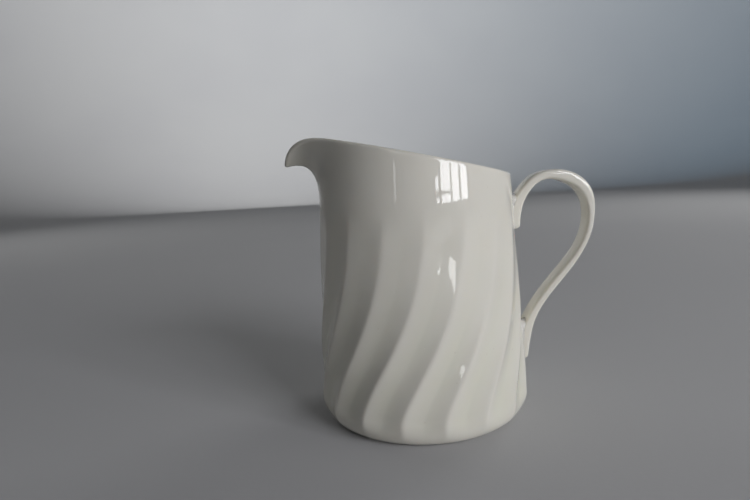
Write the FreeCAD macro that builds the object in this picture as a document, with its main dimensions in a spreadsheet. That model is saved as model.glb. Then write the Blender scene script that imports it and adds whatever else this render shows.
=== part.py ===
import FreeCAD, Part
import math
import os

# A slip-cast ceramic pitcher: a tapering fluted jug with a pulled spout and a slanting rim,
# and a strap handle cast on its own and joined to the wall with slip at its two roots.
# Millimetres. The origin is the centre of the foot ring's resting plane, +Z is up,
# +X points to the handle and -X to the spout. Azimuths are in degrees from +X towards +Y.

DIMENSIONS = {
    # jug wall
    "base_radius": 55.4,        # crest radius just above the rounded foot, the widest place
    "wall_taper": 0.0537,       # radius lost for each millimetre of height
    "foot_round_out": 10.4,     # the rounding from the foot ring out to the wall ...
    "foot_round_up": 12.4,      # ... and up
    "wall_thick": 3.0,
    "rim_height": 136.1,        # top of the rim on the axis
    "rim_slope": 0.232,         # the rim rises towards the spout by this for each millimetre
    # inside
    "floor_top": 7.0,
    "floor_round_in": 10.0,
    "floor_round_up": 11.0,
    "inner_flute_share": 0.35,  # how much of a flute's depth shows inside
    # foot
    "ring_inner_radius": 38.5,
    "recess_depth": 2.2,
    "recess_draft": 2.0,
    # flutes
    "flute_count": 17,
    "flute_depth_low": 2.0,     # scooped flutes near the foot ...
    "flute_depth_high": 0.68,   # ... that flatten to facets higher up
    "flute_deep_below": 28.0,
    "flute_flat_above": 92.0,
    "flute_twist": 36.9,        # degrees that a crest turns on its way down
    "first_crest": -5.0,        # azimuth of the crest nearest the handle, above the twist
    "flute_end_high": 114.0,    # height where the flutes have died out ...
    "flute_full_high": 95.0,    # ... and where they have their full depth
    "flute_end_low": 1.0,
    "flute_full_low": 15.0,
    "twist_start": 125.0,
    "twist_end": 12.0,
    "twist_onset": 2.7,         # the larger, the longer a crest stays upright below the rim
    "twist_ease": 1.52,         # ... and the more gently it turns upright at the foot
    # spout
    "spout_start": 112.0,       # height where the throat leaves the wall
    "spout_reach": 16.3,        # how far the lip's tip stands out from the wall
    "spout_spread": 21.7,       # degrees over which the flare dies out
    "spout_dip": 15.9,          # how far the tip drops below the rim's plane
    "spout_dip_spread": 11.6,
    "spout_dip_power": 1.41,    # how pointed the dip is
    "spout_droop": 12.8,        # degrees that the tip points below level
    "spout_fan": 0.62,          # how much the lip's edges turn apart, none to fully radial
    "throat_rise": 20.7,        # how far the throat keeps to the wall before it curves out
    "throat_run": 9.4,          # ... and how far it keeps to the lip's direction
    # handle
    "handle_width": 12.4,
    "handle_squareness": 4.0,   # 2 is an ellipse, the larger the squarer
    "tail_round": 2.0,
    # slip at the roots
    "slip_thick": 0.5,
    "slip_margin": 0.8,
    "slip_top": 122.0,          # height up to which the wall can carry slip
    "upper_slip_share": 0.2,    # how much of the strap's path each bed follows at most
    "lower_slip_share": 0.16,
}

# The handle's centre line from the upper tail round to the lower one: x, z, thickness.
HANDLE_STATIONS = [
    (51.4, 97.0, 5.7),
    (51.6, 101.0, 6.0),
    (52.2, 106.0, 6.6),
    (54.3, 110.9, 5.8),
    (58.1, 116.3, 5.0),
    (63.2, 120.8, 5.0),
    (69.5, 122.5, 5.0),
    (76.0, 121.9, 6.0),
    (82.0, 119.6, 6.5),
    (86.7, 116.0, 6.4),
    (90.0, 110.4, 5.7),
    (91.2, 102.4, 4.1),
    (90.4, 94.5, 3.7),
    (87.9, 87.0, 3.4),
    (82.0, 77.4, 3.7),
    (73.0, 66.6, 4.1),
    (66.7, 59.0, 4.1),
    (61.6, 51.6, 4.3),
    (57.8, 43.9, 5.4),
    (55.6, 36.7, 6.4),
    (54.9, 31.0, 5.8),
    (54.5, 26.6, 5.2),
]

COLUMN_SPLIT = (0.0, 0.07, 0.17, 0.32, 0.5, 0.68, 0.83, 0.93)   # shares of a flute's width
FOOT_ROWS = 7
WALL_ROWS = 15
THROAT_ROWS = 12
LIP_ROWS = 7
INNER_WALL_ROWS = 12
FLOOR_ROWS = 6
HANDLE_RINGS = 56
SLIP_RINGS = 14
SLIP_ROWS = 30
RING_POINTS = 32
TAIL_TURNS = (0.0, 30.0, 60.0, 80.0)   # degrees round a tail's rounded end


class Sheet:
    """The spreadsheet of driving dimensions, read back by alias."""

    def __init__(self, doc):
        self.sheet = doc.addObject("Spreadsheet::Sheet", "Dimensions")
        for row, (alias, value) in enumerate(DIMENSIONS.items(), start=1):
            self.sheet.set(f"A{row}", alias.replace("_", " "))
            self.sheet.set(f"B{row}", str(value))
            self.sheet.setAlias(f"B{row}", alias)
        doc.recompute()

    def __getattr__(self, alias):
        return float(getattr(self.sheet, alias))


def smooth_step(low, high, value):
    """0 at low, 1 at high, level at both ends; low may be the larger."""
    share = min(1.0, max(0.0, (value - low) / (high - low)))
    return share * share * (3.0 - 2.0 * share)


def bell(offset, spread, power=2.0):
    return math.exp(-(abs(offset / spread) ** power))


# ---------------------------------------------------------------- jug wall

def crest_radius(dim, height):
    return dim.base_radius - dim.wall_taper * (height - dim.foot_round_up)


def twist_at(dim, height):
    """How far a crest has turned at this height, in degrees: none above, all of it below."""
    share = (dim.twist_start - height) / (dim.twist_start - dim.twist_end)
    share = min(1.0, max(0.0, share))
    return -dim.flute_twist * (1.0 - (1.0 - share ** dim.twist_onset) ** dim.twist_ease)


def flute_fade(dim, height):
    above = smooth_step(dim.flute_end_high, dim.flute_full_high, height)
    below = smooth_step(dim.flute_end_low, dim.flute_full_low, height)
    return above * below


def flute_depth(dim, share, height):
    """Depth below the crest circle at a share of the way from one crest to the next."""
    deepening = smooth_step(dim.flute_flat_above, dim.flute_deep_below, height)
    full = dim.flute_depth_high + (dim.flute_depth_low - dim.flute_depth_high) * deepening
    return full * 4.0 * share * (1.0 - share) * flute_fade(dim, height)


def polar(radius, azimuth, height):
    turn = math.radians(azimuth)
    return FreeCAD.Vector(radius * math.cos(turn), radius * math.sin(turn), height)


def lip_point(dim, azimuth):
    """The outer edge of the lip and the direction in which the wall arrives there."""
    offset = (azimuth % 360.0) - 180.0
    flare = bell(offset, dim.spout_spread)
    dip = dim.spout_dip * bell(offset, dim.spout_dip_spread, dim.spout_dip_power)
    radial = polar(1.0, azimuth, 0.0)
    half = dim.wall_thick / 2.0
    height = dim.rim_height - half
    for _ in range(4):
        radius = crest_radius(dim, height)
        place_x = radius * radial.x - flare * dim.spout_reach
        height = dim.rim_height - dim.rim_slope * place_x - half - dip
    place = FreeCAD.Vector(place_x, radius * radial.y, height)
    lean = math.radians((90.0 + dim.spout_droop) * flare)
    out = polar(-1.0, dim.spout_fan * offset, 0.0)
    arrive = wall_direction(dim, radial) * math.cos(lean) + out * math.sin(lean)
    return place, arrive.normalize()


def wall_direction(dim, radial):
    up = FreeCAD.Vector(0.0, 0.0, 1.0) - radial * dim.wall_taper
    return up.normalize()


def throat_point(dim, azimuth, share):
    """From the plain wall (share 0) to the outer edge of the lip (share 1)."""
    start = polar(crest_radius(dim, dim.spout_start), azimuth, dim.spout_start)
    end, arrive = lip_point(dim, azimuth)
    rise = (end - start).Length
    flare = bell((azimuth % 360.0) - 180.0, dim.spout_spread)
    first = rise / 3.0 * (1.0 - flare) + dim.throat_rise * flare
    last = rise / 3.0 * (1.0 - flare) + dim.throat_run * flare
    one = start + wall_direction(dim, polar(1.0, azimuth, 0.0)) * first
    two = end - arrive * last
    rest = 1.0 - share
    return (start * rest ** 3 + one * (3.0 * rest ** 2 * share)
            + two * (3.0 * rest * share ** 2) + end * share ** 3)


def plain_point(dim, azimuth, level):
    """The wall without flutes: level 0 to 1 is the foot, 1 to 2 the wall, 2 to 3 the throat."""
    if level > 2.0:
        return throat_point(dim, azimuth + twist_at(dim, dim.spout_start), level - 2.0)
    if level > 1.0:
        height = dim.foot_round_up + (level - 1.0) * (dim.spout_start - dim.foot_round_up)
        radius = crest_radius(dim, height)
    else:
        turn = level * math.pi / 2.0
        height = dim.foot_round_up * (1.0 - math.cos(turn))
        radius = dim.base_radius - dim.foot_round_out * (1.0 - math.sin(turn))
    return polar(radius, azimuth + twist_at(dim, height), height)


def plain_frame(dim, azimuth, level):
    """The point, its outward normal and its upward direction along the wall."""
    point = plain_point(dim, azimuth, level)
    step = 1e-3
    low = max(0.0, level - step)
    high = min(3.0, level + step)
    along = plain_point(dim, azimuth, high) - plain_point(dim, azimuth, low)
    across = plain_point(dim, azimuth + 0.05, level) - plain_point(dim, azimuth - 0.05, level)
    normal = across.cross(along)
    return point, normal.normalize(), along.normalize()


def columns(dim):
    """Azimuth above the twist and place within its flute, for every column of the wall."""
    pitch = 360.0 / dim.flute_count
    for flute in range(int(dim.flute_count)):
        for share in COLUMN_SPLIT:
            yield dim.first_crest + (flute + share) * pitch, share


def level_of(dim, height):
    return 1.0 + (height - dim.foot_round_up) / (dim.spout_start - dim.foot_round_up)


def outer_points(dim, azimuth, share, levels):
    points = []
    for level in levels:
        point, normal, _ = plain_frame(dim, azimuth, level)
        points.append(point - normal * flute_depth(dim, share, point.z))
    return points


def lip_points(dim, azimuth):
    """The rounded lip, from the outer edge over to the inner one, both left out."""
    point, normal, along = plain_frame(dim, azimuth, 3.0)
    half = dim.wall_thick / 2.0
    centre = point - normal * half
    points = []
    for row in range(1, LIP_ROWS + 1):
        turn = math.pi * row / (LIP_ROWS + 1)
        points.append(centre + normal * (half * math.cos(turn)) + along * (half * math.sin(turn)))
    return points


def inner_wall_points(dim, azimuth, share, levels):
    points = []
    for level in levels:
        point, normal, _ = plain_frame(dim, azimuth, level)
        depth = flute_depth(dim, share, point.z) * dim.inner_flute_share
        points.append(point - normal * (dim.wall_thick + depth))
    return points


def floor_points(dim, edge):
    """The rounding from the foot of the inner wall, edge, down to the level floor."""
    radius = math.hypot(edge.x, edge.y)
    outward = FreeCAD.Vector(edge.x / radius, edge.y / radius, 0.0)
    drop = edge.z - dim.floor_top
    points = []
    for row in range(1, FLOOR_ROWS + 1):
        turn = math.pi / 2.0 * row / FLOOR_ROWS
        inset = dim.floor_round_in * (1.0 - math.cos(turn))
        height = edge.z - drop * math.sin(turn)
        points.append(outward * (radius - inset) + FreeCAD.Vector(0.0, 0.0, height))
    return points


def span(first, last, count):
    return [first + (last - first) * index / (count - 1) for index in range(count)]


def wall_column(dim, azimuth, share):
    """One column of the casting: foot, wall, throat, lip, inner wall and floor."""
    foot = span(0.0, 1.0, FOOT_ROWS)
    wall = span(1.0, 2.0, WALL_ROWS)[1:]
    throat = span(2.0, 3.0, THROAT_ROWS)[1:]
    inner_throat = list(reversed(span(2.0, 3.0, THROAT_ROWS)))
    lowest = level_of(dim, dim.floor_top + dim.floor_round_up)
    inner_wall = span(2.0, lowest, INNER_WALL_ROWS)[1:]
    points = outer_points(dim, azimuth, share, foot + wall + throat)
    points += lip_points(dim, azimuth)
    points += inner_wall_points(dim, azimuth, share, inner_throat + inner_wall)
    return points + floor_points(dim, points[-1])


def level_end(points):
    """Levels the last row at one height, because a flat face closes it."""
    height = sum(column[-1].z for column in points) / len(points)
    for column in points:
        column[-1].z = height


def closed_solid(poles):
    """A solid from a tube of poles, round in u and open in v, with flat ends."""
    around = len(poles)
    along = len(poles[0])
    surface = Part.BSplineSurface()
    surface.buildFromPolesMultsKnots(
        poles,
        [1] * (around + 1),
        [4] + [1] * (along - 4) + [4],
        [float(knot) for knot in range(around + 1)],
        [float(knot) for knot in range(along - 2)],
        True,
        False,
        3,
        3,
    )
    side = surface.toShape()
    ends = [edge for edge in side.Edges if edge.isClosed() and not edge.isSeam(side)]
    faces = [side] + [Part.Face(Part.Wire([edge])) for edge in ends]
    shell = Part.Shell(faces)
    shell.sewShape()
    solid = Part.Solid(shell)
    if solid.Volume < 0.0:
        solid.reverse()
    return solid


def feature(doc, label, shape):
    item = doc.addObject("Part::Feature", label)
    item.Label = label
    item.Shape = shape
    item.Placement = FreeCAD.Placement()
    return item


def cast_wall(doc, dim):
    """The casting before its foot is hollowed: outer wall, lip, inner wall and floor."""
    poles = [wall_column(dim, azimuth, share) for azimuth, share in columns(dim)]
    level_end(poles)
    return feature(doc, "cast_wall", closed_solid(poles))


def foot_recess(doc):
    """The shallow hollow under the floor that leaves a ring to stand on."""
    cone = doc.addObject("Part::Cone", "foot_recess")
    cone.setExpression("Radius1", "Dimensions.ring_inner_radius + Dimensions.recess_draft * 0.5")
    cone.setExpression("Radius2", "Dimensions.ring_inner_radius - Dimensions.recess_draft * 0.5")
    cone.setExpression("Height", "Dimensions.recess_depth * 2")
    cone.setExpression("Placement.Base.z", "-Dimensions.recess_depth")
    return cone


def jug_body(doc, dim):
    body = doc.addObject("Part::Cut", "jug_body")
    body.Label = "jug_body"
    body.Base = cast_wall(doc, dim)
    body.Tool = foot_recess(doc)
    return body


def slip_surface(doc, dim):
    """The plain outside of the wall up to the rim's low side, one slip layer larger."""
    heights = span(dim.foot_round_up, dim.slip_top, SLIP_ROWS)
    poles = [slip_column(dim, azimuth, share, heights) for azimuth, share in columns(dim)]
    return feature(doc, "slip_surface", closed_solid(poles))


def slip_column(dim, azimuth, share, heights):
    points = []
    for height in heights:
        radius = crest_radius(dim, height) - flute_depth(dim, share, height) + dim.slip_thick
        points.append(polar(radius, azimuth + twist_at(dim, height), height))
    return points


# ---------------------------------------------------------------- handle

def handle_path():
    """The centre line as a curve whose y is the thickness."""
    curve = Part.BSplineCurve()
    curve.interpolate([FreeCAD.Vector(x, thick, z) for x, z, thick in HANDLE_STATIONS])
    return curve


def strap_ring(dim, centre, tangent, width, thick):
    """A flat strap's rounded section across the path."""
    outward = FreeCAD.Vector(tangent.z, 0.0, -tangent.x)
    side = FreeCAD.Vector(0.0, 1.0, 0.0)
    power = 2.0 / dim.handle_squareness
    points = []
    for index in range(RING_POINTS):
        turn = 2.0 * math.pi * index / RING_POINTS
        cos = math.cos(turn)
        sin = math.sin(turn)
        across = math.copysign(abs(cos) ** power, cos) * width / 2.0
        deep = math.copysign(abs(sin) ** power, sin) * thick / 2.0
        points.append(centre + side * across + outward * deep)
    return points


def strap_rings(dim, curve, first, last, count, margin):
    """Rings from one share of the path to another, with rounded ends."""
    start = curve.FirstParameter
    length = curve.LastParameter - start
    rings = []
    for share in span(first, last, count):
        place = curve.value(start + length * share)
        slope = curve.tangent(start + length * share)[0]
        tangent = FreeCAD.Vector(slope.x, 0.0, slope.z).normalize()
        centre = FreeCAD.Vector(place.x, 0.0, place.z)
        rings.append([centre, tangent, dim.handle_width + 2.0 * margin, place.y])
    top = rounded_end(dim, rings[0], -1.0, margin)
    bottom = rounded_end(dim, rings[-1], 1.0, margin)
    rings = top[::-1] + rings[1:-1] + bottom
    return [strap_ring(dim, *ring) for ring in rings]


def rounded_end(dim, ring, way, margin):
    """The last ring, moved on by the margin, and those that round it off to a blunt end."""
    centre, tangent, width, thick = ring
    rings = []
    for turn in TAIL_TURNS:
        ahead = margin + dim.tail_round * math.sin(math.radians(turn))
        less = 2.0 * dim.tail_round * (1.0 - math.cos(math.radians(turn)))
        inward = FreeCAD.Vector(-tangent.z, 0.0, tangent.x) * math.copysign(less / 2.0, tangent.z)
        rings.append([centre + tangent * (way * ahead) + inward, tangent, width - less, thick - less])
    return rings


def transposed(rings):
    return [list(column) for column in zip(*rings)]


def strap_blank(doc, dim, label, first, last, count, margin):
    rings = strap_rings(dim, handle_path(), first, last, count, margin)
    return feature(doc, label, closed_solid(transposed(rings)))


def handle(doc, dim, surface):
    """The cast strap, its roots trimmed to lie on the slip."""
    part = doc.addObject("Part::Cut", "handle")
    part.Label = "handle"
    part.Base = strap_blank(doc, dim, "handle_blank", 0.0, 1.0, HANDLE_RINGS, 0.0)
    part.Tool = surface
    return part


def joint_slip(doc, dim, label, first, last, surface, body):
    """The thin bed of slip between a root and the wall, showing a little all round."""
    bed = doc.addObject("Part::Common", label + "_bed")
    bed.Base = strap_blank(doc, dim, label + "_blank", first, last, SLIP_RINGS, dim.slip_margin)
    bed.Tool = surface
    slip = doc.addObject("Part::Cut", label)
    slip.Label = label
    slip.Base = bed
    slip.Tool = body
    return slip


# ---------------------------------------------------------------- document

def check(doc, parts):
    for item in doc.Objects:
        if "Invalid" in item.State or "Error" in item.State:
            raise RuntimeError(f"{item.Name} failed: {item.State}")
    for item in parts:
        shape = item.Shape
        if shape.isNull() or not shape.isValid() or not shape.Solids:
            raise RuntimeError(f"{item.Label} has no valid solid")
        print(f"{item.Label}: {len(shape.Solids)} solid, {shape.Volume / 1000.0:.2f} ml, "
              f"box {shape.BoundBox}")


def main():
    doc = FreeCAD.newDocument("pitcher")
    dim = Sheet(doc)
    body = jug_body(doc, dim)
    surface = slip_surface(doc, dim)
    upper_end = dim.upper_slip_share
    lower_start = 1.0 - dim.lower_slip_share
    parts = [
        body,
        handle(doc, dim, surface),
        joint_slip(doc, dim, "upper_joint_slip", 0.0, upper_end, surface, body),
        joint_slip(doc, dim, "lower_joint_slip", lower_start, 1.0, surface, body),
    ]
    doc.recompute()
    check(doc, parts)
    os.makedirs("parts", exist_ok=True)
    for item in parts:
        item.Shape.exportStep(os.path.join("parts", item.Label + ".step"))


main()
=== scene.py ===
"""Looks of the ceramic pitcher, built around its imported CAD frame.

The jug, its strap handle and the slip joints at the handle's two roots are rebuilt as finer
meshes where the CAD solids are, glazed, and set on a pale floor under soft studio light.
Shapes are in millimetres and azimuths in degrees from +X towards +Y, as in the CAD model;
they become metres when a mesh is made.
"""

import math

import bmesh
import bpy
import numpy as np
from mathutils import Matrix, Vector
from mathutils.bvhtree import BVHTree

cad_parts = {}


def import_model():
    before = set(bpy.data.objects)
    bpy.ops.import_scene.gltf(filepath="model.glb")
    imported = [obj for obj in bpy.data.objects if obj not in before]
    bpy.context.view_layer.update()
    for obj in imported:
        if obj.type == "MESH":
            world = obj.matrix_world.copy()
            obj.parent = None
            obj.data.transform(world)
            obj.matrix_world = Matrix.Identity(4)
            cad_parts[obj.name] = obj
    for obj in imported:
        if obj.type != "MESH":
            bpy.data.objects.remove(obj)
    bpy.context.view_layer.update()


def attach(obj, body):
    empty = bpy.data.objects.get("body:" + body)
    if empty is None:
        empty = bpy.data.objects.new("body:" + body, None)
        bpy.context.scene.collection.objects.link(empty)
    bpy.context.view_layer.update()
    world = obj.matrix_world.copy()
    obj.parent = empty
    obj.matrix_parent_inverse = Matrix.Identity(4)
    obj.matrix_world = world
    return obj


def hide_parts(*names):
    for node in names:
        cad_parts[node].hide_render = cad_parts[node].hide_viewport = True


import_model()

MM = 0.001

# ------------------------------------------------------------------ jug: driving dimensions

BASE_RADIUS = 55.4          # crest radius just above the rounded foot
WALL_TAPER = 0.0537         # radius lost for each millimetre of height
FOOT_ROUND_OUT = 10.4
FOOT_ROUND_UP = 12.4
WALL_THICK = 3.0
RIM_HEIGHT = 136.1          # top of the rim on the axis
RIM_SLOPE = 0.232           # the rim rises towards the spout

FLOOR_TOP = 7.0
FLOOR_ROUND_IN = 10.0
FLOOR_ROUND_UP = 11.0
FLOOR_SHARES = (0.75, 0.5, 0.25, 0.08)      # rows on the level floor, as shares of its radius
INNER_FLUTE_SHARE = 0.35

FLUTE_COUNT = 17
FLUTE_TWIST = 36.9
FIRST_CREST = -5.0
TWIST_START = 125.0
TWIST_END = 12.0
TWIST_ONSET = 2.7           # the larger, the longer a crest stays upright below the rim
TWIST_EASE = 1.52           # ... and the more gently it turns upright at the foot
FLUTE_DEPTH_LOW = 2.0       # scooped flutes near the foot ...
FLUTE_DEPTH_HIGH = 0.68     # ... that flatten to facets higher up
FLUTE_DEEP_BELOW = 28.0
FLUTE_FLAT_ABOVE = 92.0
FLUTE_END_HIGH = 114.0
FLUTE_FULL_HIGH = 95.0
FLUTE_END_LOW = 1.0
FLUTE_FULL_LOW = 15.0
CREST_SOFTNESS = 0.055      # share of a flute over which the glaze rounds its crest

SPOUT_START = 112.0
SPOUT_REACH = 16.3
SPOUT_SPREAD = 21.7
SPOUT_DIP = 15.9
SPOUT_DIP_SPREAD = 11.6
SPOUT_DIP_POWER = 1.41
SPOUT_DROOP = 12.8
SPOUT_FAN = 0.62
THROAT_RISE = 20.7
THROAT_RUN = 9.4

RING_OUTER = BASE_RADIUS - FOOT_ROUND_OUT
RING_INNER = 38.5
RECESS_ROOF = 37.5
RECESS_DEPTH = 2.2
BARE_ABOVE = 0.7            # height up to which the foot ring is wiped clean of glaze ...
BARE_FROM = 0.9             # ... and how far inside the ring's inner edge that starts ...
BARE_FULL = 0.3             # ... and is complete

# Small steps over which slopes are taken, in levels, degrees and millimetres.
LEVEL_STEP = 0.001
AZIMUTH_STEP = 0.05
WALL_STEP = 0.1
RIM_PASSES = 4              # a lip point's height depends on its place, and settles in a few

COLUMNS_PER_FLUTE = 24
FOOT_ROWS = 18
WALL_ROWS = 62
THROAT_ROWS = 30
LIP_ROWS = 10
INNER_WALL_ROWS = 34
FLOOR_ROWS = 10

# ------------------------------------------------------------------ handle

# Centre line from the upper tail round to the lower one: x, z, thickness.
HANDLE_STATIONS = [
    (51.4, 97.0, 5.7),
    (51.6, 101.0, 6.0),
    (52.2, 106.0, 6.6),
    (54.3, 110.9, 5.8),
    (58.1, 116.3, 5.0),
    (63.2, 120.8, 5.0),
    (69.5, 122.5, 5.0),
    (76.0, 121.9, 6.0),
    (82.0, 119.6, 6.5),
    (86.7, 116.0, 6.4),
    (90.0, 110.4, 5.7),
    (91.2, 102.4, 4.1),
    (90.4, 94.5, 3.7),
    (87.9, 87.0, 3.4),
    (82.0, 77.4, 3.7),
    (73.0, 66.6, 4.1),
    (66.7, 59.0, 4.1),
    (61.6, 51.6, 4.3),
    (57.8, 43.9, 5.4),
    (55.6, 36.7, 6.4),
    (54.9, 31.0, 5.8),
    (54.5, 26.6, 5.2),
]
HANDLE_WIDTH = 12.4
HANDLE_RINGS = 220
HANDLE_RING_POINTS = 56
HANDLE_SQUARENESS = 4.0     # 2 is an ellipse, the larger the squarer
TAIL_ROUND = 2.0
TAIL_TURN = 84.0            # how far round a tail's rounding goes
TAIL_RINGS = 9

# ------------------------------------------------------------------ slip joints

UPPER_ROOT = 102.5          # height of the middle of each root
LOWER_ROOT = 34.5
FILLET_RADIUS = 0.5         # of the smoothed slip round a root ...
CROTCH_EXTRA = 0.7          # ... and how much more it is where the strap leaves the wall
FILLET_STEPS = 14
SEARCH_FROM = 30.0          # a ball that rolls in from here finds the root ...
SEARCH_STEP = 0.5
SEARCH_HALVINGS = 18        # ... and its resting place is then halved in on
FILLET_DIRECTIONS = 180
TUCK_REACH = 1.0            # the slip's edges run on this far under the glaze ...
TUCK_DEPTH = 0.05           # ... and this deep
BED_DEPTH = 0.8


# ------------------------------------------------------------------ small mathematics

def ramp(low, high, value):
    """0 at low, 1 at high, level at both ends; low may be the larger."""
    share = np.clip((value - low) / (high - low), 0.0, 1.0)
    return share * share * (3.0 - 2.0 * share)


def bell(offset, spread, power=2.0):
    return np.exp(-np.abs(offset / spread) ** power)


def vectors(x, y, z):
    return np.stack(np.broadcast_arrays(x, y, z), axis=-1).astype(float)


def polar(radius, azimuth, height):
    turn = np.radians(azimuth)
    return vectors(radius * np.cos(turn), radius * np.sin(turn), height)


def unit(rows):
    return rows / np.linalg.norm(rows, axis=-1, keepdims=True)


# ------------------------------------------------------------------ jug wall

def crest_radius(height):
    return BASE_RADIUS - WALL_TAPER * (height - FOOT_ROUND_UP)


def twist_at(height):
    """How far a crest has turned at this height: none above, all of it below."""
    share = np.clip((TWIST_START - height) / (TWIST_START - TWIST_END), 0.0, 1.0)
    return -FLUTE_TWIST * (1.0 - (1.0 - share ** TWIST_ONSET) ** TWIST_EASE)


def flute_depth(share, height):
    """Depth below the crest circle at a share of the way from one crest to the next."""
    full = FLUTE_DEPTH_HIGH + (FLUTE_DEPTH_LOW - FLUTE_DEPTH_HIGH) * ramp(
        FLUTE_FLAT_ABOVE, FLUTE_DEEP_BELOW, height)
    fade = ramp(FLUTE_END_HIGH, FLUTE_FULL_HIGH, height) * ramp(FLUTE_END_LOW, FLUTE_FULL_LOW, height)
    near = np.minimum(share, 1.0 - share)
    soft = np.sqrt(near * near + CREST_SOFTNESS ** 2) - CREST_SOFTNESS
    return full * fade * 4.0 * soft * (1.0 - soft)


def wall_direction(azimuth):
    """Straight up the wall."""
    return unit(polar(-WALL_TAPER, azimuth, 1.0))


def lip_edge(azimuth):
    """The outer edge of the lip and the direction in which the wall arrives there."""
    offset = azimuth % 360.0 - 180.0
    flare = bell(offset, SPOUT_SPREAD)
    dip = SPOUT_DIP * bell(offset, SPOUT_DIP_SPREAD, SPOUT_DIP_POWER)
    half = WALL_THICK / 2.0
    height = RIM_HEIGHT - half
    for _ in range(RIM_PASSES):
        place = polar(crest_radius(height), azimuth, 0.0)
        place[..., 0] -= flare * SPOUT_REACH
        height = RIM_HEIGHT - RIM_SLOPE * place[..., 0] - half - dip
    place[..., 2] = height
    lean = np.radians((90.0 + SPOUT_DROOP) * flare)[..., None]
    out = polar(-1.0, SPOUT_FAN * offset, 0.0)
    return place, unit(wall_direction(azimuth) * np.cos(lean) + out * np.sin(lean))


def throat_point(azimuth, share):
    """From the plain wall, share 0, to the outer edge of the lip, share 1."""
    start = polar(crest_radius(SPOUT_START), azimuth, SPOUT_START)
    end, arrive = lip_edge(azimuth)
    plain = np.linalg.norm(end - start, axis=-1) / 3.0
    flare = bell(azimuth % 360.0 - 180.0, SPOUT_SPREAD)
    first = (plain * (1.0 - flare) + THROAT_RISE * flare)[..., None]
    last = (plain * (1.0 - flare) + THROAT_RUN * flare)[..., None]
    one = start + wall_direction(azimuth) * first
    two = end - arrive * last
    rest = 1.0 - share
    return (start * rest ** 3 + one * (3.0 * rest ** 2 * share)
            + two * (3.0 * rest * share ** 2) + end * share ** 3)


def height_at(level):
    return FOOT_ROUND_UP + (level - 1.0) * (SPOUT_START - FOOT_ROUND_UP)


def level_at(height):
    return 1.0 + (height - FOOT_ROUND_UP) / (SPOUT_START - FOOT_ROUND_UP)


def plain_point(azimuth, level):
    """The wall without flutes: level 0 to 1 is the foot, 1 to 2 the wall, 2 to 3 the throat."""
    if level > 2.0:
        return throat_point(azimuth + twist_at(SPOUT_START), level - 2.0)
    if level > 1.0:
        height = height_at(level)
        radius = crest_radius(height)
    else:
        turn = level * math.pi / 2.0
        height = FOOT_ROUND_UP * (1.0 - math.cos(turn))
        radius = BASE_RADIUS - FOOT_ROUND_OUT * (1.0 - math.sin(turn))
    return polar(radius, azimuth + twist_at(height), height)


def plain_frame(azimuth, level):
    """The point, its outward normal and its upward direction along the wall."""
    low = max(0.0, level - LEVEL_STEP)
    high = min(3.0, level + LEVEL_STEP)
    along = plain_point(azimuth, high) - plain_point(azimuth, low)
    across = plain_point(azimuth + AZIMUTH_STEP, level) - plain_point(azimuth - AZIMUTH_STEP, level)
    return plain_point(azimuth, level), unit(np.cross(across, along)), unit(along)


def outer_row(azimuth, share, level):
    point, normal, _ = plain_frame(azimuth, level)
    depth = flute_depth(share, point[..., 2])
    return point - normal * depth[..., None]


def inner_row(azimuth, share, level):
    point, normal, _ = plain_frame(azimuth, level)
    depth = flute_depth(share, point[..., 2])
    return point - normal * (WALL_THICK + INNER_FLUTE_SHARE * depth[..., None])


def lip_rows(azimuth):
    """The rounded lip, from the outer edge over to the inner one, both left out."""
    point, normal, along = plain_frame(azimuth, 3.0)
    half = WALL_THICK / 2.0
    centre = point - normal * half
    turns = np.pi * np.arange(1, LIP_ROWS + 1) / (LIP_ROWS + 1)
    return [centre + normal * (half * math.cos(t)) + along * (half * math.sin(t)) for t in turns]


def floor_rows(edge):
    """The rounding from the foot of the inner wall, edge, down to the level floor and in."""
    radius = np.hypot(edge[:, 0], edge[:, 1])
    outward = edge / radius[:, None]
    outward[:, 2] = 0.0
    drop = edge[:, 2] - FLOOR_TOP
    rows = []
    for turn in np.linspace(0.0, np.pi / 2.0, FLOOR_ROWS + 1)[1:]:
        inset = FLOOR_ROUND_IN * (1.0 - math.cos(turn))
        row = outward * (radius - inset)[:, None]
        row[:, 2] = edge[:, 2] - drop * math.sin(turn)
        rows.append(row)
    last = rows[-1]
    for share in FLOOR_SHARES:
        row = last * share
        row[:, 2] = FLOOR_TOP
        rows.append(row)
    return rows


def under_rows(azimuth):
    """The hollow under the floor and the ring that the jug stands on, from the centre out."""
    roof = [(radius, RECESS_DEPTH) for radius in (3.0, 12.0, 22.0, 31.0, RECESS_ROOF - 1.5)]
    cove = [(RECESS_ROOF - 0.6, RECESS_DEPTH - 0.1), (RECESS_ROOF, RECESS_DEPTH - 0.55)]
    flank = [(RING_INNER - 0.6, 0.75), (RING_INNER - 0.35, 0.24), (RING_INNER, 0.03)]
    ring = [(RING_INNER + 0.5, 0.0), ((RING_INNER + RING_OUTER) / 2.0, 0.0), (RING_OUTER - 0.7, 0.0)]
    return [polar(radius, azimuth, height) for radius, height in roof + cove + flank + ring]


def jug_rows(azimuth, share):
    """Every row of the casting, from the middle of its underside to the middle of its floor."""
    foot = np.linspace(0.0, 1.0, FOOT_ROWS)
    wall = np.linspace(1.0, 2.0, WALL_ROWS)[1:]
    throat = np.linspace(2.0, 3.0, THROAT_ROWS)[1:]
    lowest = level_at(FLOOR_TOP + FLOOR_ROUND_UP)
    inside = np.linspace(2.0, lowest, INNER_WALL_ROWS)[1:]
    bottom = azimuth + twist_at(0.0)
    rows = under_rows(bottom)
    rows += [outer_row(azimuth, share, level) for level in (*foot, *wall, *throat)]
    rows += lip_rows(azimuth)
    rows += [inner_row(azimuth, share, level) for level in (3.0, *throat[-2::-1], *inside)]
    return rows + floor_rows(rows[-1])


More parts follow.
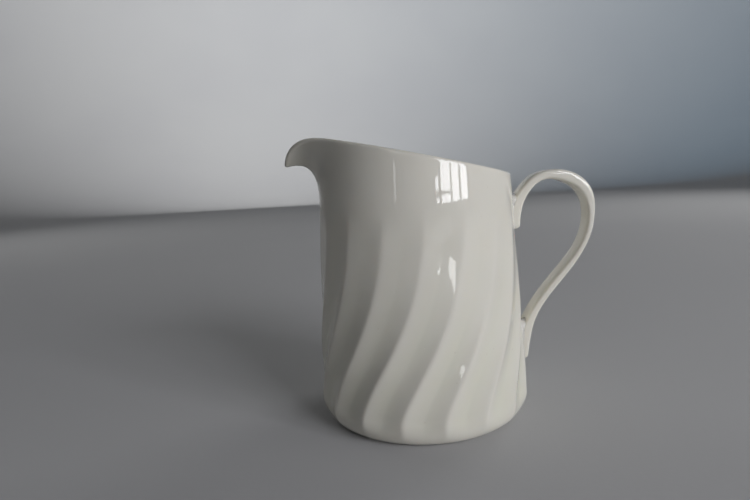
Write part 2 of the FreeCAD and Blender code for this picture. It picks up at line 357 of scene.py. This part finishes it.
# ------------------------------------------------------------------ handle strap

def spline(knots, values, places):
    """The natural cubic curve through the values at the knots, read at the places."""
    step = np.diff(knots)
    count = len(knots)
    matrix = np.eye(count)
    right = np.zeros(values.shape)
    slope = np.diff(values, axis=0) / step[:, None]
    for row in range(1, count - 1):
        matrix[row, row - 1:row + 2] = step[row - 1], 2.0 * (step[row - 1] + step[row]), step[row]
        right[row] = 6.0 * (slope[row] - slope[row - 1])
    bend = np.linalg.solve(matrix, right)
    piece = np.clip(np.searchsorted(knots, places) - 1, 0, count - 2)
    width = step[piece][:, None]
    rise = ((places - knots[piece]) / step[piece])[:, None]
    fall = 1.0 - rise
    curved = (fall ** 3 - fall) * bend[piece] + (rise ** 3 - rise) * bend[piece + 1]
    return fall * values[piece] + rise * values[piece + 1] + width ** 2 / 6.0 * curved


def strap_path():
    """Centres, unit tangents and thicknesses along the strap."""
    stations = np.array(HANDLE_STATIONS)
    gaps = np.linalg.norm(np.diff(stations[:, :2], axis=0), axis=1)
    knots = np.concatenate([[0.0], np.cumsum(gaps)])
    places = np.linspace(0.0, knots[-1], HANDLE_RINGS)
    values = spline(knots, stations, places)
    centres = vectors(values[:, 0], 0.0, values[:, 1])
    return centres, unit(np.gradient(centres, axis=0)), values[:, 2]


def strap_ring(centre, tangent, width, thick):
    """A flat strap's rounded section across the path."""
    turn = 2.0 * np.pi * np.arange(HANDLE_RING_POINTS) / HANDLE_RING_POINTS
    cos, sin = np.cos(turn), np.sin(turn)
    power = 2.0 / HANDLE_SQUARENESS
    across = np.copysign(np.abs(cos) ** power, cos) * width / 2.0
    deep = np.copysign(np.abs(sin) ** power, sin) * thick / 2.0
    outward = np.array([tangent[2], 0.0, -tangent[0]])
    side = np.array([0.0, 1.0, 0.0])
    return centre + across[:, None] * side + deep[:, None] * outward


def tail_rings(ring, way):
    """The rings that round a root's end off, its outer side receding."""
    centre, tangent, width, thick = ring
    rings = []
    for turn in np.linspace(0.0, np.radians(TAIL_TURN), TAIL_RINGS)[1:]:
        less = 2.0 * TAIL_ROUND * (1.0 - math.cos(turn))
        inward = np.array([-tangent[2], 0.0, tangent[0]]) * math.copysign(less / 2.0, tangent[2])
        place = centre + tangent * (way * TAIL_ROUND * math.sin(turn)) + inward
        rings.append((place, tangent, width - less, thick - less))
    return rings


def strap_rows():
    centres, tangents, thicks = strap_path()
    rings = [(*ring, HANDLE_WIDTH, thick) for *ring, thick in zip(centres, tangents, thicks)]
    rings = tail_rings(rings[0], -1.0)[::-1] + rings + tail_rings(rings[-1], 1.0)
    return [strap_ring(*ring) for ring in rings]


# ------------------------------------------------------------------ slip joints

def wall_point(azimuth, height):
    share = (azimuth - twist_at(height) - FIRST_CREST) / (360.0 / FLUTE_COUNT) % 1.0
    return polar(crest_radius(height) - flute_depth(share, height), azimuth, height)


def wall_at(root, heading, reach):
    """The fluted wall's point and normal at a distance from a root's middle along the wall."""
    height = root + reach * math.sin(heading)
    azimuth = math.degrees(reach * math.cos(heading) / crest_radius(height))
    across = wall_point(azimuth + WALL_STEP, height) - wall_point(azimuth - WALL_STEP, height)
    along = wall_point(azimuth, height + WALL_STEP) - wall_point(azimuth, height - WALL_STEP)
    return Vector(wall_point(azimuth, height)), Vector(np.cross(across, along)).normalized()


def fillet_radius(heading):
    return FILLET_RADIUS + CROTCH_EXTRA * max(0.0, math.sin(heading)) ** 2


def resting_reach(root, heading, strap_tree):
    """How far from the root's middle a ball rests on both the wall and the strap."""
    radius = fillet_radius(heading)

    def clear(reach):
        point, normal = wall_at(root, heading, reach)
        return strap_tree.find_nearest(point + normal * radius)[3] > radius

    outside = SEARCH_FROM
    while clear(outside):
        outside -= SEARCH_STEP
    inside, outside = outside, outside + SEARCH_STEP
    for _ in range(SEARCH_HALVINGS):
        middle = (inside + outside) / 2.0
        if clear(middle):
            outside = middle
        else:
            inside = middle
    return outside


def fillet_section(root, heading, strap_tree):
    """The slip's outline in one heading: the wall's edge, the hollow, the strap's edge, its bed."""
    radius = fillet_radius(heading)
    reach = resting_reach(root, heading, strap_tree)
    foot, normal = wall_at(root, heading, reach)
    centre = foot + normal * radius
    touch = strap_tree.find_nearest(centre)[0]
    start, end = (foot - centre).normalized(), (touch - centre).normalized()
    angle = start.angle(end)
    shares = [step / FILLET_STEPS for step in range(FILLET_STEPS + 1)]
    hollow = [centre + (start * math.sin(angle * (1.0 - share)) + end * math.sin(angle * share))
              * (radius / math.sin(angle)) for share in shares]
    onward = (end * math.cos(angle) - start).normalized()
    strap_edge, strap_normal = strap_tree.find_nearest(touch + onward * TUCK_REACH)[:2]
    sunk = math.copysign(TUCK_DEPTH, strap_normal.dot(end))
    wall_edge, edge_normal = wall_at(root, heading, reach + TUCK_REACH)
    bed, bed_normal = wall_at(root, heading, reach - radius)
    return [wall_edge - edge_normal * TUCK_DEPTH, *hollow,
            strap_edge + strap_normal * sunk, bed - bed_normal * BED_DEPTH]


def slip_joint(name, root, strap_tree):
    headings = 2.0 * np.pi * np.arange(FILLET_DIRECTIONS) / FILLET_DIRECTIONS
    sections = np.array([fillet_section(root, heading, strap_tree) for heading in headings])
    return make_piece(name, list(sections.transpose(1, 0, 2)), closed=True)


# ------------------------------------------------------------------ meshes

def add_object(name, data):
    item = bpy.data.objects.new(name, data)
    bpy.context.scene.collection.objects.link(item)
    return item


def grid_faces(count, across, closed, roof=True):
    """Quads between rows of points round an axis, with a fan to a middle point at each open end."""
    index = np.arange(count * across).reshape(count, across)
    low = index if closed else index[:-1]
    high = np.roll(index, -1, axis=0) if closed else index[1:]
    quads = np.stack([low, np.roll(low, -1, axis=1), np.roll(high, -1, axis=1), high], axis=-1)
    faces = quads.reshape(-1, 4).tolist()
    if closed:
        return faces
    middle = count * across
    faces += [(middle, index[0, (k + 1) % across], index[0, k]) for k in range(across)]
    if roof:
        faces += [(middle + 1, index[-1, k], index[-1, (k + 1) % across]) for k in range(across)]
    return faces


def make_piece(name, rows, closed=False, roof=True):
    """A smooth mesh from rows of points round an axis, joined end to end if closed or else capped."""
    ends = [] if closed else [row.mean(axis=0, keepdims=True) for row in (rows[0], rows[-1])[:1 + roof]]
    points = np.concatenate([*rows, *ends]) * MM
    mesh = bpy.data.meshes.new(name)
    mesh.from_pydata(points.tolist(), [], grid_faces(len(rows), len(rows[0]), closed, roof))
    shape = bmesh.new()
    shape.from_mesh(mesh)
    if roof:
        bmesh.ops.recalc_face_normals(shape, faces=shape.faces)
    shape.to_mesh(mesh)
    shape.free()
    mesh.polygons.foreach_set("use_smooth", [True] * len(mesh.polygons))
    mesh.update()
    return add_object(name, mesh)


def paint(piece, name, values):
    """A number for every vertex, which the glaze reads."""
    attribute = piece.data.attributes.new(name, "FLOAT", "POINT")
    attribute.data.foreach_set("value", np.asarray(values, np.float32))


def jug():
    column = np.arange(FLUTE_COUNT * COLUMNS_PER_FLUTE)
    share = column % COLUMNS_PER_FLUTE / COLUMNS_PER_FLUTE
    azimuth = FIRST_CREST + column * 360.0 / len(column)
    rows = jug_rows(azimuth, share)
    piece = make_piece("glazed_jug_body", rows)
    places = np.concatenate([*rows, [[0.0, 0.0, RECESS_DEPTH], [0.0, 0.0, FLOOR_TOP]]])
    shares = np.concatenate([np.tile(share, len(rows)), [0.0, 0.0]])
    paint(piece, "pool", flute_depth(shares, places[:, 2]) / FLUTE_DEPTH_LOW)
    radius = np.hypot(places[:, 0], places[:, 1])
    on_ring = ramp(RING_INNER - BARE_FROM, RING_INNER - BARE_FULL, radius)
    paint(piece, "bare", on_ring * ramp(BARE_ABOVE, 0.0, places[:, 2]))
    return piece


def strap():
    """The glazed strap, and a tree of its faces in millimetres that the slip joints rest on."""
    rows = strap_rows()
    points = [Vector(point) for row in rows for point in row]
    sides = grid_faces(len(rows), HANDLE_RING_POINTS, True)[:-HANDLE_RING_POINTS]
    return make_piece("glazed_handle", rows), BVHTree.FromPolygons(points, sides)


# ------------------------------------------------------------------ materials

GLAZE_THIN = (0.793, 0.767, 0.682)
GLAZE_THICK = (0.762, 0.75, 0.635)
JOINT_THIN = (0.79, 0.765, 0.70)
JOINT_THICK = (0.75, 0.735, 0.655)
IRON_COLOUR = (0.34, 0.25, 0.16)
IRON_STRENGTH = 0.10
CLOUD_SHADE = 0.975
CLAY_LIGHT = (0.70, 0.62, 0.52)
CLAY_DARK = (0.58, 0.49, 0.39)
BACKDROP_COLOUR = (0.52, 0.52, 0.52)
BACKDROP_SHADE = (0.50, 0.50, 0.505)

NOISE_RANGE = (0.3, 0.7)    # what a noise keeps to for the most part
CLAY_GRAINS = (0.35, 0.65)  # the part of that range in which clay turns from light to dark
POOL_UNEVEN = 0.5           # the least share of its tint that pooled glaze shows
BARE_RAGGED = 0.15          # how far grit moves the edge of the bare clay ...
BARE_EDGE = (0.40, 0.55)    # ... and the shares of wiping between which glaze turns to clay
GLAZE_IOR = 1.5
GLAZE_ROUGHNESS = (0.02, 0.045)
CLAY_ROUGHNESS = 0.7
BACKDROP_ROUGHNESS = (0.85, 0.95)
BACKDROP_SPECULAR = 0.1
SUBSURFACE_WEIGHT = 0.12
SUBSURFACE_DEPTH = 0.0012   # metres that light strays in the clay ...
SUBSURFACE_SHARES = (1.0, 0.8, 0.6)     # ... and the share of it for red, green and blue

# Texture scales in features per metre, heights in metres.
CLOUD_SCALE = 30.0
WAVE_SCALE = 90.0
PEEL_SCALE = 800.0
GRIT_SCALE = 1600.0
SPECK_SCALE = 260.0
SPOT_CORE = 0.4             # share of a speck or pit that is even, before it fades
SPECK_SIZE = 0.16           # share of the specks' spacing
SPECK_RARE = 0.93           # share of the places left without one
PIT_SCALE = 420.0
PIT_SIZE = 0.12
PIT_RARE = 0.90
BACKDROP_FINE_SCALE = 400.0
BACKDROP_BROAD_SCALE = 1.5
WAVE_HEIGHT = 0.00004
JOINT_WAVE_HEIGHT = 0.00012
PEEL_HEIGHT = 0.0000015
PIT_DEPTH = 0.00005
GRIT_HEIGHT = 0.0001
BACKDROP_HEIGHT = 0.00005


def node(tree, kind, inputs=None, **settings):
    """A shader node with its settings made and its inputs set or linked."""
    item = tree.nodes.new(kind)
    for name, value in settings.items():
        setattr(item, name, value)
    for name, value in (inputs or {}).items():
        if isinstance(value, bpy.types.NodeSocket):
            tree.links.new(value, item.inputs[name])
        else:
            item.inputs[name].default_value = value
    return item


def noise(tree, place, scale, detail=2.0):
    inputs = {"Vector": place, "Scale": scale, "Detail": detail}
    return node(tree, "ShaderNodeTexNoise", inputs).outputs["Fac"]


def read(tree, name):
    return node(tree, "ShaderNodeAttribute", attribute_name=name).outputs["Fac"]


def between(tree, value, low, high, start, end):
    """Start where the value is low or less, end where it is high or more."""
    inputs = {"Value": value, "From Min": low, "From Max": high, "To Min": start, "To Max": end}
    return node(tree, "ShaderNodeMapRange", inputs, interpolation_type="SMOOTHSTEP").outputs["Result"]


def vary(tree, value, start, end):
    """Start to end over the range that a noise keeps to for the most part."""
    return between(tree, value, *NOISE_RANGE, start, end)


def combine(tree, one, two, operation="MULTIPLY"):
    """The product of two numbers, or another operation's result."""
    return node(tree, "ShaderNodeMath", {0: one, 1: two}, operation=operation).outputs["Value"]


def blend(tree, share, first, second):
    """From the first colour to the second, each a socket or red, green and blue."""
    inputs = {0: share, 6: (*first, 1.0) if isinstance(first, tuple) else first,
              7: (*second, 1.0) if isinstance(second, tuple) else second}
    return node(tree, "ShaderNodeMix", inputs, data_type="RGBA").outputs[2]


def bump(tree, height, distance, normal=None):
    inputs = {"Height": height, "Distance": distance, "Strength": 1.0}
    if normal:
        inputs["Normal"] = normal
    return node(tree, "ShaderNodeBump", inputs).outputs["Normal"]


def specks(tree, place, scale, size, rare):
    """1 in a few round spots: size is a share of their spacing, rare the share of cells without."""
    cells = node(tree, "ShaderNodeTexVoronoi", {"Vector": place, "Scale": scale})
    lot = node(tree, "ShaderNodeSeparateColor", {"Color": cells.outputs["Color"]}).outputs["Red"]
    chosen = combine(tree, lot, rare, "GREATER_THAN")
    spots = between(tree, cells.outputs["Distance"], size * SPOT_CORE, size, 1.0, 0.0)
    return combine(tree, spots, chosen)


def new_material(name):
    material = bpy.data.materials.new(name)
    material.use_nodes = True
    return material, material.node_tree, material.node_tree.nodes["Principled BSDF"]


def glaze_material(name, thin, thick, ripple):
    """Clear glaze over warm white ceramic, paler where it is thin and warmer where it pools."""
    material, tree, shader = new_material(name)
    place = node(tree, "ShaderNodeTexCoord").outputs["Object"]
    clouds = noise(tree, place, CLOUD_SCALE)
    waves = noise(tree, place, WAVE_SCALE, detail=1.0)
    peel = noise(tree, place, PEEL_SCALE)
    grit = noise(tree, place, GRIT_SCALE, detail=4.0)
    edge = combine(tree, read(tree, "bare"), vary(tree, grit, -BARE_RAGGED, BARE_RAGGED), "ADD")
    bare = between(tree, edge, *BARE_EDGE, 0.0, 1.0)
    pooled = combine(tree, read(tree, "pool"), vary(tree, clouds, POOL_UNEVEN, 1.0))
    iron = specks(tree, place, SPECK_SCALE, SPECK_SIZE, SPECK_RARE)
    pits = specks(tree, place, PIT_SCALE, PIT_SIZE, PIT_RARE)

    cloudy = tuple(CLOUD_SHADE * part for part in thin)
    colour = blend(tree, vary(tree, clouds, 0.0, 1.0), thin, cloudy)
    colour = blend(tree, pooled, colour, thick)
    colour = blend(tree, combine(tree, iron, IRON_STRENGTH), colour, IRON_COLOUR)
    clay = blend(tree, between(tree, grit, *CLAY_GRAINS, 0.0, 1.0), CLAY_LIGHT, CLAY_DARK)
    tree.links.new(blend(tree, bare, colour, clay), shader.inputs["Base Color"])

    glossy = vary(tree, peel, *GLAZE_ROUGHNESS)
    dull = combine(tree, bare, CLAY_ROUGHNESS)
    tree.links.new(combine(tree, glossy, dull, "ADD"), shader.inputs["Roughness"])
    normal = bump(tree, waves, ripple)
    normal = bump(tree, peel, PEEL_HEIGHT, normal)
    normal = bump(tree, combine(tree, pits, -1.0), PIT_DEPTH, normal)
    normal = bump(tree, combine(tree, grit, bare), GRIT_HEIGHT, normal)
    tree.links.new(normal, shader.inputs["Normal"])
    shader.inputs["IOR"].default_value = GLAZE_IOR
    shader.inputs["Subsurface Weight"].default_value = SUBSURFACE_WEIGHT
    shader.inputs["Subsurface Radius"].default_value = SUBSURFACE_SHARES
    shader.inputs["Subsurface Scale"].default_value = SUBSURFACE_DEPTH
    return material


def backdrop_material():
    material, tree, shader = new_material("pale_backdrop")
    place = node(tree, "ShaderNodeTexCoord").outputs["Object"]
    fine = noise(tree, place, BACKDROP_FINE_SCALE)
    broad = noise(tree, place, BACKDROP_BROAD_SCALE)
    colour = blend(tree, vary(tree, broad, 0.0, 1.0), BACKDROP_COLOUR, BACKDROP_SHADE)
    tree.links.new(colour, shader.inputs["Base Color"])
    tree.links.new(vary(tree, fine, *BACKDROP_ROUGHNESS), shader.inputs["Roughness"])
    tree.links.new(bump(tree, fine, BACKDROP_HEIGHT), shader.inputs["Normal"])
    shader.inputs["Specular IOR Level"].default_value = BACKDROP_SPECULAR
    return material


# ------------------------------------------------------------------ studio, in metres

CAMERA_PLACE = Vector((-22.424, -301.734, 130.766))     # in millimetres
CAMERA_DOWN = 0.1418        # radians below the level ...
CAMERA_ROLL = 0.0575        # ... and round the line of sight
CAMERA_LENS = 27.456        # millimetres, on a sensor ...
CAMERA_SENSOR = 36.0        # ... this wide
CAMERA_NEAR = 0.01          # metres within which it sees nothing

STAGE_RADIUS = 2.2
STAGE_BEND = 1.2
STAGE_HEIGHT = 3.4
STAGE_SIDES = 96
STAGE_INNER = (0.3, 1.0)    # radii of the level floor's inner rows
STAGE_BEND_ROWS = 13

WINDOW_AZIMUTH = -50.0
WINDOW_DISTANCE = 1.6
WINDOW_RADIANCE = 7.45
WINDOW_COLOUR = (0.985, 0.99, 1.04)
WINDOW_GLINT = 2.9          # how much brighter the glaze mirrors it
# Each pane's two upright edges, measured from the window's middle, its bottom and its top.
WINDOW_PANES = [
    (-0.411, -0.100, 0.213, 1.15),
    (-0.411, -0.100, 0.165, 0.195),
    (-0.049, 0.186, 0.165, 1.15),
    (0.256, 0.490, 0.165, 1.15),
    (-0.600, -0.500, 0.215, 0.27),
    (-0.600, -0.480, 0.170, 0.19),
]

LIGHT_TARGET = (0.0, 0.0, 0.07)     # the middle of the jug, which the fills and cards face
FILL_SIZE = 0.8
# Fills that the glaze does not mirror: name, place, radiance.
FILLS = [
    ("right_fill", (1.49, -0.40, 0.48), 0.9),
    ("back_right_fill", (1.11, 1.11, 0.85), 2.2),
    ("back_left_fill", (-1.11, 1.11, 0.85), 1.15),
]

BACKDROP_TILT = 50.0        # degrees up, which keeps the floor under the lamps out of their light
# Lamps low behind the jug that light the wall: name, place, radiance, colour.
BACKDROP_LAMPS = [
    ("backdrop_lamp_left", (-0.35, 1.35, 0.5), 23.0, (1.0, 1.0, 1.0)),
    ("backdrop_lamp_right", (1.2, 1.35, 0.5), 2.8, (0.18, 0.60, 1.0)),
]

# Bright cards that the glaze only mirrors: name, place, width and height, turn, radiance.
MIRRORED_CARDS = [
    ("near_card", (0.0451, -0.1325, 0.0774), (0.0052, 0.0195), -35.2, 6.5),
    ("low_card", (0.0241, -0.1379, 0.0409), (0.0110, 0.0048), 9.2, 5.0),
    ("far_window", (-0.551, -1.436, 0.56), (0.45, 0.14), 0.0, 3.0),
    ("door_gap", (-0.686, -1.439, 0.25), (0.06, 0.12), 0.0, 3.0),
]


def camera():
    ahead = Vector((0.0, math.cos(CAMERA_DOWN), -math.sin(CAMERA_DOWN)))
    level = Vector((1.0, 0.0, 0.0))
    down = ahead.cross(level)
    right = level * math.cos(CAMERA_ROLL) + down * math.sin(CAMERA_ROLL)
    upward = level * math.sin(CAMERA_ROLL) - down * math.cos(CAMERA_ROLL)
    data = bpy.data.cameras.new("camera")
    data.lens = CAMERA_LENS
    data.sensor_width = CAMERA_SENSOR
    data.clip_start = CAMERA_NEAR
    item = add_object("camera", data)
    turn = Matrix((right, upward, -ahead)).transposed()
    item.matrix_world = Matrix.Translation(CAMERA_PLACE * MM) @ turn.to_4x4()
    bpy.context.scene.camera = item


def stage():
    """A round pale floor that curves up into a wall all round, so that no edge shows."""
    turns = np.radians(np.linspace(0.0, 90.0, STAGE_BEND_ROWS))
    level = [(radius, 0.0) for radius in STAGE_INNER]
    bend = [(STAGE_RADIUS + STAGE_BEND * math.sin(t), STAGE_BEND * (1.0 - math.cos(t))) for t in turns]
    profile = [*level, *bend, (STAGE_RADIUS + STAGE_BEND, STAGE_HEIGHT)]
    azimuth = np.arange(STAGE_SIDES) * 360.0 / STAGE_SIDES
    rows = [polar(radius / MM, azimuth, height / MM) for radius, height in profile]
    item = make_piece("stage", rows, roof=False)
    item.data.materials.append(backdrop_material())


def panel(name, place, target, size, radiance, colour=(1.0, 1.0, 1.0)):
    """A soft lamp, size wide and high, that faces target and is as bright as radiance."""
    data = bpy.data.lights.new(name, "AREA")
    data.shape = "RECTANGLE"
    data.size, data.size_y = size
    data.energy = radiance * math.pi * size[0] * size[1]
    data.color = colour
    item = add_object(name, data)
    item.location = place
    item.rotation_euler = (Vector(place) - Vector(target)).to_track_quat("Z", "Y").to_euler()
    item.visible_camera = False
    return item


def window():
    """Tall panes side by side, upright and square to the line from the jug."""
    turn = math.radians(WINDOW_AZIMUTH)
    ahead = Vector((math.cos(turn), math.sin(turn), 0.0))
    side = Vector((-ahead.y, ahead.x, 0.0))
    for number, (left, right, sill, top) in enumerate(WINDOW_PANES, start=1):
        middle = Vector((0.0, 0.0, (sill + top) / 2.0))
        place = ahead * WINDOW_DISTANCE + side * (left + right) / 2.0 + middle
        size = (right - left, top - sill)
        panel(f"window_pane_{number}", place, place - ahead, size, WINDOW_RADIANCE, WINDOW_COLOUR)
        glint = panel(f"window_glint_{number}", place + ahead * MM, place - ahead, size, WINDOW_GLINT)
        glint.visible_diffuse = False


def soft_lights():
    for name, place, radiance in FILLS:
        item = panel(name, place, LIGHT_TARGET, (FILL_SIZE, FILL_SIZE), radiance)
        item.visible_glossy = False
    for name, place, radiance, colour in BACKDROP_LAMPS:
        tilt = math.radians(BACKDROP_TILT)
        ahead = Vector(place) + Vector((0.0, math.cos(tilt), math.sin(tilt)))
        item = panel(name, place, ahead, (FILL_SIZE, FILL_SIZE), radiance, colour)
        item.visible_glossy = False
    for name, place, size, turn, radiance in MIRRORED_CARDS:
        item = panel(name, place, LIGHT_TARGET, size, radiance)
        item.rotation_euler.rotate_axis("Z", math.radians(turn))
        item.visible_diffuse = False


def world():
    """Dark, so that all light comes from the lamps."""
    bpy.context.scene.world = bpy.data.worlds.new("studio")
    bpy.context.scene.world.use_nodes = True
    back = bpy.context.scene.world.node_tree.nodes["Background"]
    back.inputs["Color"].default_value = (0.0, 0.0, 0.0, 1.0)


# ------------------------------------------------------------------ assembly

def place_piece(piece, material, node):
    piece.data.materials.append(material)
    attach(piece, "root")
    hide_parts(node)


handle, handle_tree = strap()
body_glaze = glaze_material("body_glaze", GLAZE_THIN, GLAZE_THICK, WAVE_HEIGHT)
handle_glaze = glaze_material("handle_glaze", GLAZE_THIN, GLAZE_THICK, WAVE_HEIGHT)
joint_glaze = glaze_material("joint_glaze", JOINT_THIN, JOINT_THICK, JOINT_WAVE_HEIGHT)
place_piece(jug(), body_glaze, "jug_body")
place_piece(handle, handle_glaze, "handle")
for name, root in (("upper_joint", UPPER_ROOT), ("lower_joint", LOWER_ROOT)):
    slip = slip_joint(f"glazed_{name}", root, handle_tree)
    place_piece(slip, joint_glaze, f"{name}_slip")
camera()
stage()
window()
soft_lights()
world()
bpy.context.scene.view_settings.view_transform = "Standard"
